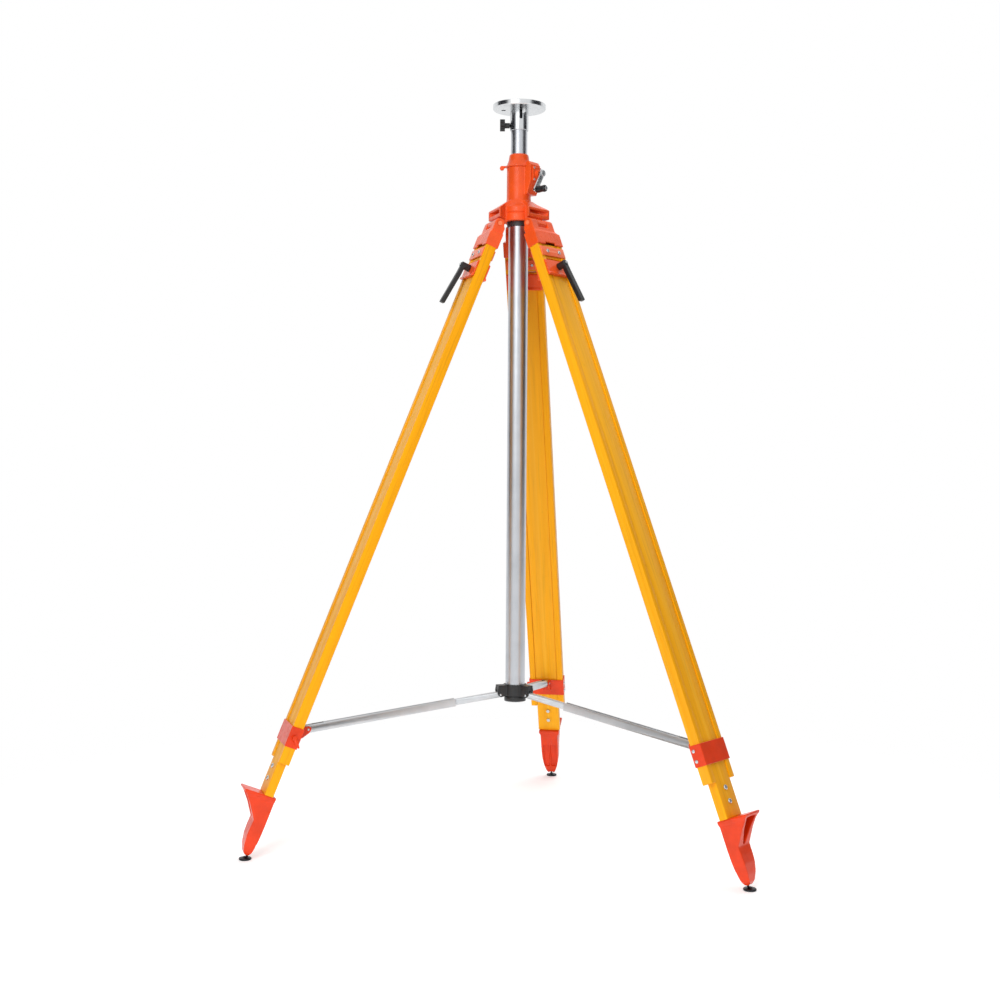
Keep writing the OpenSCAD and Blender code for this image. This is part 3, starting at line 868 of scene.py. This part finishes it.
@dataclass
class LegPieces(Assembly):
    """One leg: bracket, rails, strap, clamps, board, foot and pad."""

    leg: Leg = Leg.BACK
    strap_s: float = 89.0
    strap_screw_t: float = 24.0
    rail_t: float = 28.0
    strap_t: float = 3.5
    collar_screw_s: tuple[float, float] = (1413.0, 1438.0)
    collar_face: float = 53.5
    bolt_s: tuple[float, float] = (1514.0, 1547.0)
    board_t: float = 23.0
    lever_s: float = 134.0
    lever_top: float = 47.0
    bracket_screw_at: tuple[float, float, float] = (-5.0, 45.0, -36.0)
    pocket_x: tuple[float, float] = (-30.0, -12.5)
    pocket_y: tuple[float, float] = (2.0, 20.0)
    pocket_z: tuple[float, float] = (-1716.0, -1636.0)

    def build(self) -> None:
        """Builds and dresses every piece of the leg."""
        leg = self.leg
        self.restyle("hinge_bracket", leg, Space.LEG, lambda m: cast(m, 1.1, 4))
        self.restyle("upper_clamp", leg, Space.LEG, lambda m: cast(m, 1.0, 3))
        self.restyle("lower_collar", leg, Space.LEG, lambda m: cast(m, 0.9, 3))
        self.restyle("collar_wing", leg, Space.LEG, lambda m: cast(m, 0.7, 5))
        self.restyle("foot_casting", leg, Space.LEG, self.foot, settle=True)
        self.restyle("ratchet_lever", leg, Space.LEG, lambda m: cast(m, 0.9, 5))
        self.restyle("rail_strap", leg, Space.LEG, lambda m: eased(m, 0.8))
        self.restyle("leg_rails", leg, Space.LEG, lambda m: eased(m, 1.6))
        self.restyle("leg_board", leg, Space.LEG, lambda m: eased(m, 1.4))
        self.restyle("foot_pad", leg, Space.UPRIGHT, lambda m: cast(m, 0.7, 3), settle=True)
        self.restyle("leg_screws", leg, Space.LEG, self.leg_screws)
        self.restyle("foot_bolts", leg, Space.LEG, self.foot_bolts)
        self.lever_screw()
        self.bracket_screws()

    def foot(self, mesh: bpy.types.Mesh) -> bpy.types.Mesh:
        """The foot, cored out from its inner side into two pockets with a rib between them."""
        (x0, x1), (y0, y1), (z0, z1) = self.pocket_x, self.pocket_y, self.pocket_z
        tools = [block((x0, min(side * y0, side * y1), z0), (x1, max(side * y0, side * y1), z1)) for side in (-1, 1)]
        return cast(carve(mesh, tools), 1.2, 9)

    def leg_screws(self, _: bpy.types.Mesh) -> bpy.types.Mesh:
        """The strap's two socket screws with their nuts, and the collar's two."""
        head, nut = socket_screw(5.2, 3.2, 2.6), lathe([(0, 0), (4.5, 0), (4.5, 2.6), (3.9, 3.4), (0, 3.4)], 6)
        face = self.rail_t / 2 + self.strap_t
        parts = []
        for side in (-1, 1):
            parts.append((head, facing((1, 0, 0), (face, side * self.strap_screw_t, -self.strap_s))))
            parts.append((nut, facing((-1, 0, 0), (-face, side * self.strap_screw_t, -self.strap_s))))
        small = socket_screw(4.5, 3.0, 2.2)
        parts += [(small, facing((0, -1, 0), (-7.0, -self.collar_face, -s))) for s in self.collar_screw_s]
        return gather(parts)

    def foot_bolts(self, _: bpy.types.Mesh) -> bpy.types.Mesh:
        """The two bolts through the board, with nuts behind."""
        head, nut = socket_screw(6.5, 4.0, 3.2), lathe([(0, 0), (6, 0), (6, 4.2), (5.3, 5), (0, 5)], 6)
        face = self.board_t / 2
        parts = []
        for s in self.bolt_s:
            parts.append((head, facing((1, 0, 0), (face, 0, -s))))
            parts.append((nut, facing((-1, 0, 0), (-face, 0, -s))))
        return gather(parts)

    def bracket_screws(self) -> None:
        """The two clamping screws on the narrow sides of the hinge bracket."""
        head = socket_screw(4.6, 3.2, 2.3)
        x, y, z = self.bracket_screw_at
        parts = [(head, facing((0, side, 0), (x, side * y, z))) for side in (-1, 1)]
        tag = self.leg.tag
        self.add(f"bracket_screws_{tag}", gather(parts), self.leg.local(), f"leg_{tag}", ZINC_STEEL)

    def lever_screw(self) -> None:
        """The screw in the middle of the ratchet lever's hub."""
        head = socket_screw(4.2, 1.6, 2.0)
        place = self.leg.local() @ facing((1, 0, 0), (self.lever_top, 0, -self.lever_s))
        self.add(f"lever_screw_{self.leg.tag}", head, place, f"lever_{self.leg.tag}", ZINC_STEEL)


# ---------------------------------------------------------------- studio


@dataclass
class Studio:
    """The camera, the floor and the light."""

    camera_at: tuple[float, float, float] = (0.613, -3.663, 1.013)
    camera_az: float = 100.18
    camera_pitch: float = -1.69
    camera_roll: float = 0.41
    focal_mm: float = 49.96
    floor_r: float = 3.4
    flag_distance: float = 3.4
    flag_size: tuple[float, float] = (3.6, 4.5)
    flag_turn: float = 80.0
    flag_low: float = 0.5
    wall_white: float = 1.0
    wall_light: float = 0.56
    key_at: tuple[float, float, float] = (-0.5, -3.1, 2.2)
    key_aim: tuple[float, float, float] = (0.0, 0.0, 1.0)
    key_size: float = 1.6
    key_watts: float = 66.0
    top_at: tuple[float, float, float] = (0.4, 0.6, 4.2)
    top_aim: tuple[float, float, float] = (0.0, 0.0, 1.2)
    top_size: float = 2.0
    top_watts: float = 60.0
    floor_z_mm: float = -0.5

    def camera(self) -> None:
        """Stands the camera at eye level in front of the tripod."""
        data = bpy.data.cameras.new("camera")
        data.lens = self.focal_mm
        data.clip_end = 100.0
        item = bpy.data.objects.new("camera", data)
        bpy.context.scene.collection.objects.link(item)
        turn = Matrix.Rotation(math.radians(self.camera_az - 90), 4, "Z")
        tilt = Matrix.Rotation(math.radians(90 + self.camera_pitch), 4, "X")
        roll = Matrix.Rotation(math.radians(self.camera_roll), 4, "Z")
        item.matrix_world = Matrix.Translation(self.camera_at) @ turn @ tilt @ roll
        bpy.context.scene.camera = item

    def floor(self) -> None:
        """A wide matt floor under the pads."""
        mesh = lathe([(0, self.floor_z_mm), (self.floor_r / MM, self.floor_z_mm)], 64)
        item = bpy.data.objects.new("floor", mesh)
        mesh.materials.append(FLOOR_CARD.material())
        bpy.context.scene.collection.objects.link(item)

    @staticmethod
    def aimed(at: tuple[float, float, float], aim: tuple[float, float, float]) -> Matrix:
        """A frame at a point whose -Z looks at another."""
        return Matrix.Translation(at) @ (Vector(aim) - Vector(at)).to_track_quat("-Z", "Y").to_matrix().to_4x4()

    def lamp(
        self,
        name: str,
        at: tuple[float, float, float],
        aim: tuple[float, float, float],
        size: float,
        watts: float,
    ) -> None:
        """A soft square lamp that gloss doesn't see, so that it burns no spots into faces seen at a low angle.

        Args:
            name: Its name.
            at: Where it hangs, in metres.
            aim: The point it looks at.
            size: The side of its square.
            watts: Its power.
        """
        data = bpy.data.lights.new(name, "AREA")
        data.shape, data.size, data.energy = "SQUARE", size, watts
        item = bpy.data.objects.new(name, data)
        bpy.context.scene.collection.objects.link(item)
        item.matrix_world = self.aimed(at, aim)
        item.visible_glossy = False

    @staticmethod
    def panel(
        name: str, corners: list[tuple[float, float, float]], finish: Finish, place: Matrix
    ) -> bpy.types.Object:
        """A flat panel of the studio, which the camera doesn't see and which casts no shadow.

        Args:
            name: Its name.
            corners: Its corners, in metres.
            finish: What it is made of.
            place: Where it stands.

        Returns:
            The new object.
        """
        work = bmesh.new()
        work.faces.new([work.verts.new(c) for c in corners])
        mesh = bpy.data.meshes.new(name)
        work.to_mesh(mesh)
        work.free()
        mesh.materials.append(finish.material())
        item = bpy.data.objects.new(name, mesh)
        bpy.context.scene.collection.objects.link(item)
        item.matrix_world = place
        item.visible_camera = False
        item.visible_shadow = False
        return item

    def reflector(self) -> None:
        """A lit card in the key lamp's place, which only gloss sees: it lays the bright band on the polished tubes."""
        half = self.key_size / 2
        corners = [(x * half, y * half, 0) for x, y in ((-1, -1), (1, -1), (1, 1), (-1, 1))]
        card = self.panel("reflector", corners, LIT_CARD, self.aimed(self.key_at, self.key_aim))
        card.visible_diffuse = False

    def flag(self, name: str, azimuth: float) -> None:
        """A dark panel beside the set, which puts the dark bands in the polished tubes."""
        width, height = self.flag_size
        low = self.flag_low
        corners = [(-width / 2, 0, low), (width / 2, 0, low), (width / 2, 0, height), (-width / 2, 0, height)]
        away = Matrix.Translation((0, -self.flag_distance, 0))
        self.panel(name, corners, FLAG_CLOTH, Matrix.Rotation(math.radians(azimuth + 90), 4, "Z") @ away)

    def build(self) -> None:
        """Builds the whole studio."""
        self.camera()
        self.floor()
        self.wall()
        bpy.context.scene.view_settings.view_transform = "Standard"
        self.lamp("key", self.key_at, self.key_aim, self.key_size, self.key_watts)
        self.reflector()
        self.lamp("top", self.top_at, self.top_aim, self.top_size, self.top_watts)
        facing_camera = self.camera_az + 180
        self.flag("flag_left", facing_camera - self.flag_turn)
        self.flag("flag_right", facing_camera + self.flag_turn)

    def wall(self) -> None:
        """The white all round: full white to the eye and in gloss, and dimmer as a light on matt faces."""
        world = bpy.data.worlds.new("studio")
        world.use_nodes = True
        tree = world.node_tree
        sky = tree.nodes["Background"]
        sky.inputs["Color"].default_value = linear("#FFFFFF")
        matt = add_node(tree, "LightPath").outputs["Is Diffuse Ray"]
        light = ramp(tree, matt, 0.0, 1.0, (self.wall_white, self.wall_light))
        tree.links.new(light, sky.inputs["Strength"])
        bpy.context.scene.world = world


def main() -> None:
    """Builds the studio and then each sub-assembly, and reports the pieces."""
    logging.basicConfig(level=logging.INFO, format="%(name)s: %(message)s")
    Studio().build()
    assemblies: list[Assembly] = [Head(), Column(), Spreader(), *[LegPieces(leg=leg) for leg in Leg]]
    for assembly in assemblies:
        assembly.build()
        for piece in assembly.pieces:
            log.info("%s: %s", type(assembly).__name__, piece)


if __name__ == "__main__":
    main()
